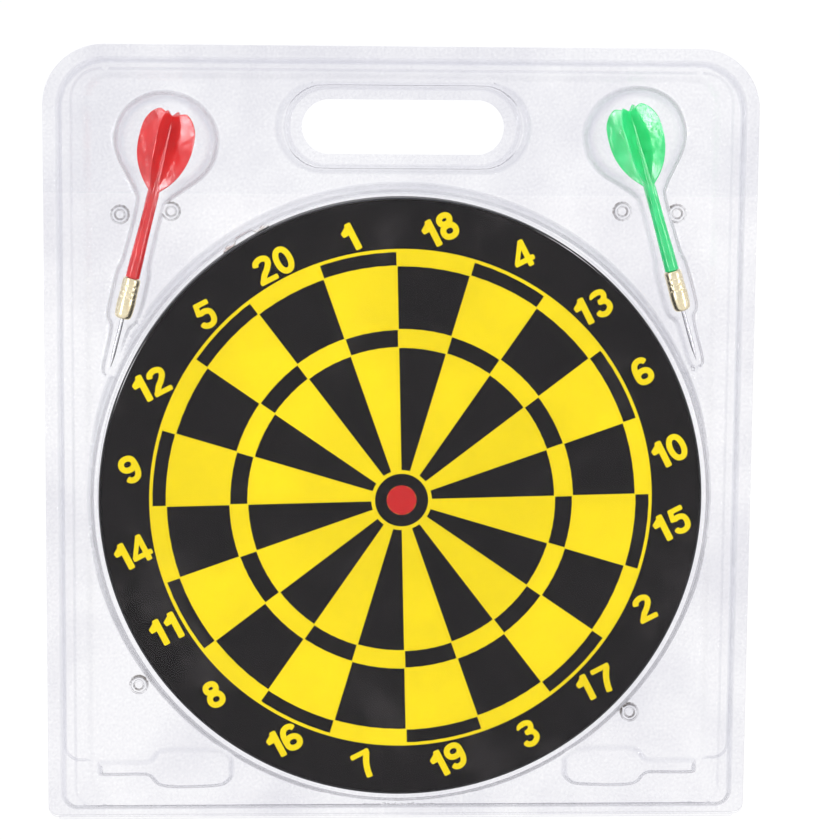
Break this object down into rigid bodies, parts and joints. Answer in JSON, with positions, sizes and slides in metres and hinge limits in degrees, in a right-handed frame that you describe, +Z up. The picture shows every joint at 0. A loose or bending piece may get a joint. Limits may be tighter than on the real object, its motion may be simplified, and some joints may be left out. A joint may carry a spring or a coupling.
{
  "type": "dartboard set",
  "caption": "Round paper dartboard with a ringed number target and needle darts, packed in a clear folding carry case with a hand slot.",
  "frame": {"origin": "middle of the top edge of the hand slot in the rear sheet, where a hook holds the set", "axes": "+Z up, +X to the right seen from the front, and the printed target faces -Y"},
  "size_m": [0.354, 0.038, 0.3899],
  "materials": {
    "clear_sheet": "glossy clear formed sheet",
    "paper_core": "matte rolled paper",
    "front_print": "matte flocked paper, black and yellow print",
    "rear_print": "matte flocked paper, black and yellow print",
    "edge_band": "satin black strip",
    "hanger_steel": "plated steel",
    "red_plastic": "glossy moulded plastic",
    "green_plastic": "glossy moulded plastic",
    "barrel_brass": "polished and knurled",
    "needle_steel": "polished"
  },
  "bodies": {
    "rear_case": {"rear_shell": "clear_sheet"},
    "front_case": {"front_shell": "clear_sheet", "front_board_cover": "clear_sheet", "front_slot_bead": "clear_sheet", "front_red_bubble": "clear_sheet", "front_green_bubble": "clear_sheet", "front_rim": "clear_sheet", "front_spare_pocket_left": "clear_sheet", "front_spare_pocket_right": "clear_sheet", "front_corner_left": "clear_sheet", "front_corner_right": "clear_sheet"},
    "board": {"board_core": "paper_core", "front_face_sheet": "front_print", "rear_face_sheet": "rear_print", "edge_band": "edge_band", "hanger_bracket": "hanger_steel", "hanger_nail_left": "hanger_steel", "hanger_nail_right": "hanger_steel"},
    "red_dart": {"red_flight_and_stem": "red_plastic", "red_barrel": "barrel_brass", "red_needle": "needle_steel"},
    "green_dart": {"green_flight_and_stem": "green_plastic", "green_barrel": "barrel_brass", "green_needle": "needle_steel"}
  },
  "joints": [
    {"name": "case_hinge", "type": "hinge", "parent": "rear_case", "child": "front_case", "pos_m": [0, -0.0007, -0.3628], "axis": [1, 0, 0], "range_deg": [0, 175]},
    {"name": "board_spin", "type": "hinge", "parent": "rear_case", "child": "board", "pos_m": [0, -0.0075, -0.1975], "axis": [0, -1, 0], "continuous": true},
    {"name": "red_dart_roll", "type": "hinge", "parent": "rear_case", "child": "red_dart", "pos_m": [-0.1445, -0.0065, -0.1335], "axis": [0.2419, 0, 0.9703], "continuous": true},
    {"name": "green_dart_roll", "type": "hinge", "parent": "rear_case", "child": "green_dart", "pos_m": [0.1473, -0.0065, -0.1282], "axis": [-0.2807, 0, 0.9598], "continuous": true}
  ]
}
